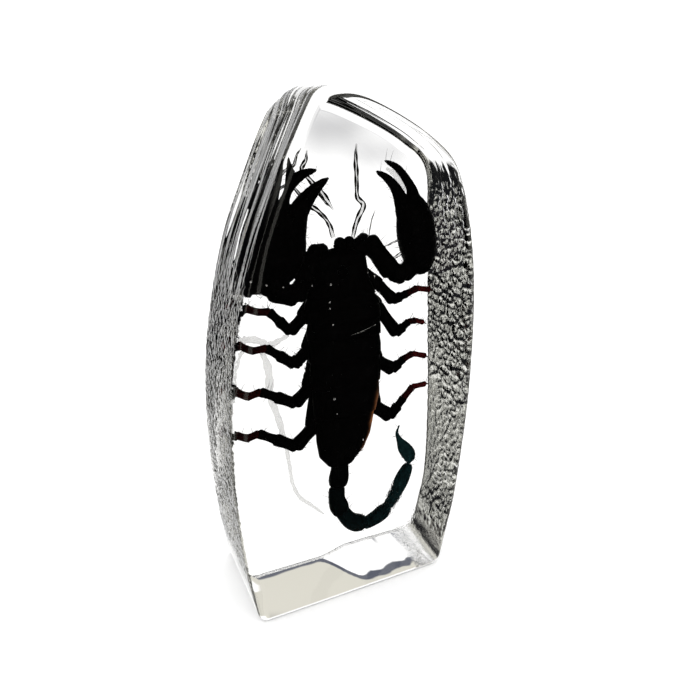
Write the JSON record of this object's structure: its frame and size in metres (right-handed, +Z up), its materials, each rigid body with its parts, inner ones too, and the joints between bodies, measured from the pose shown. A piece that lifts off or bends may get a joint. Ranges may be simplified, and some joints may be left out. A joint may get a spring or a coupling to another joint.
{
  "type": "scorpion in resin block",
  "caption": "Whole scorpion sealed in a free-standing clear resin block with polished faces, rounded edges and a flat base.",
  "frame": {"origin": "middle of the block's footprint box, on the surface it stands on", "axes": "+Z up along the scorpion's length, head up; the front polished face, which shows the scorpion's back, looks along -Y; +X to the right seen from the front"},
  "size_m": [0.0568, 0.0278, 0.1092],
  "materials": {
    "clear_resin": "clear cast resin, polished faces, pebbled side walls",
    "scorpion_shell": "glossy black dried shell"
  },
  "bodies": {
    "root": {"resin_front_half": "clear_resin", "resin_back_half": "clear_resin", "scorpion": "scorpion_shell"}
  },
  "joints": []
}
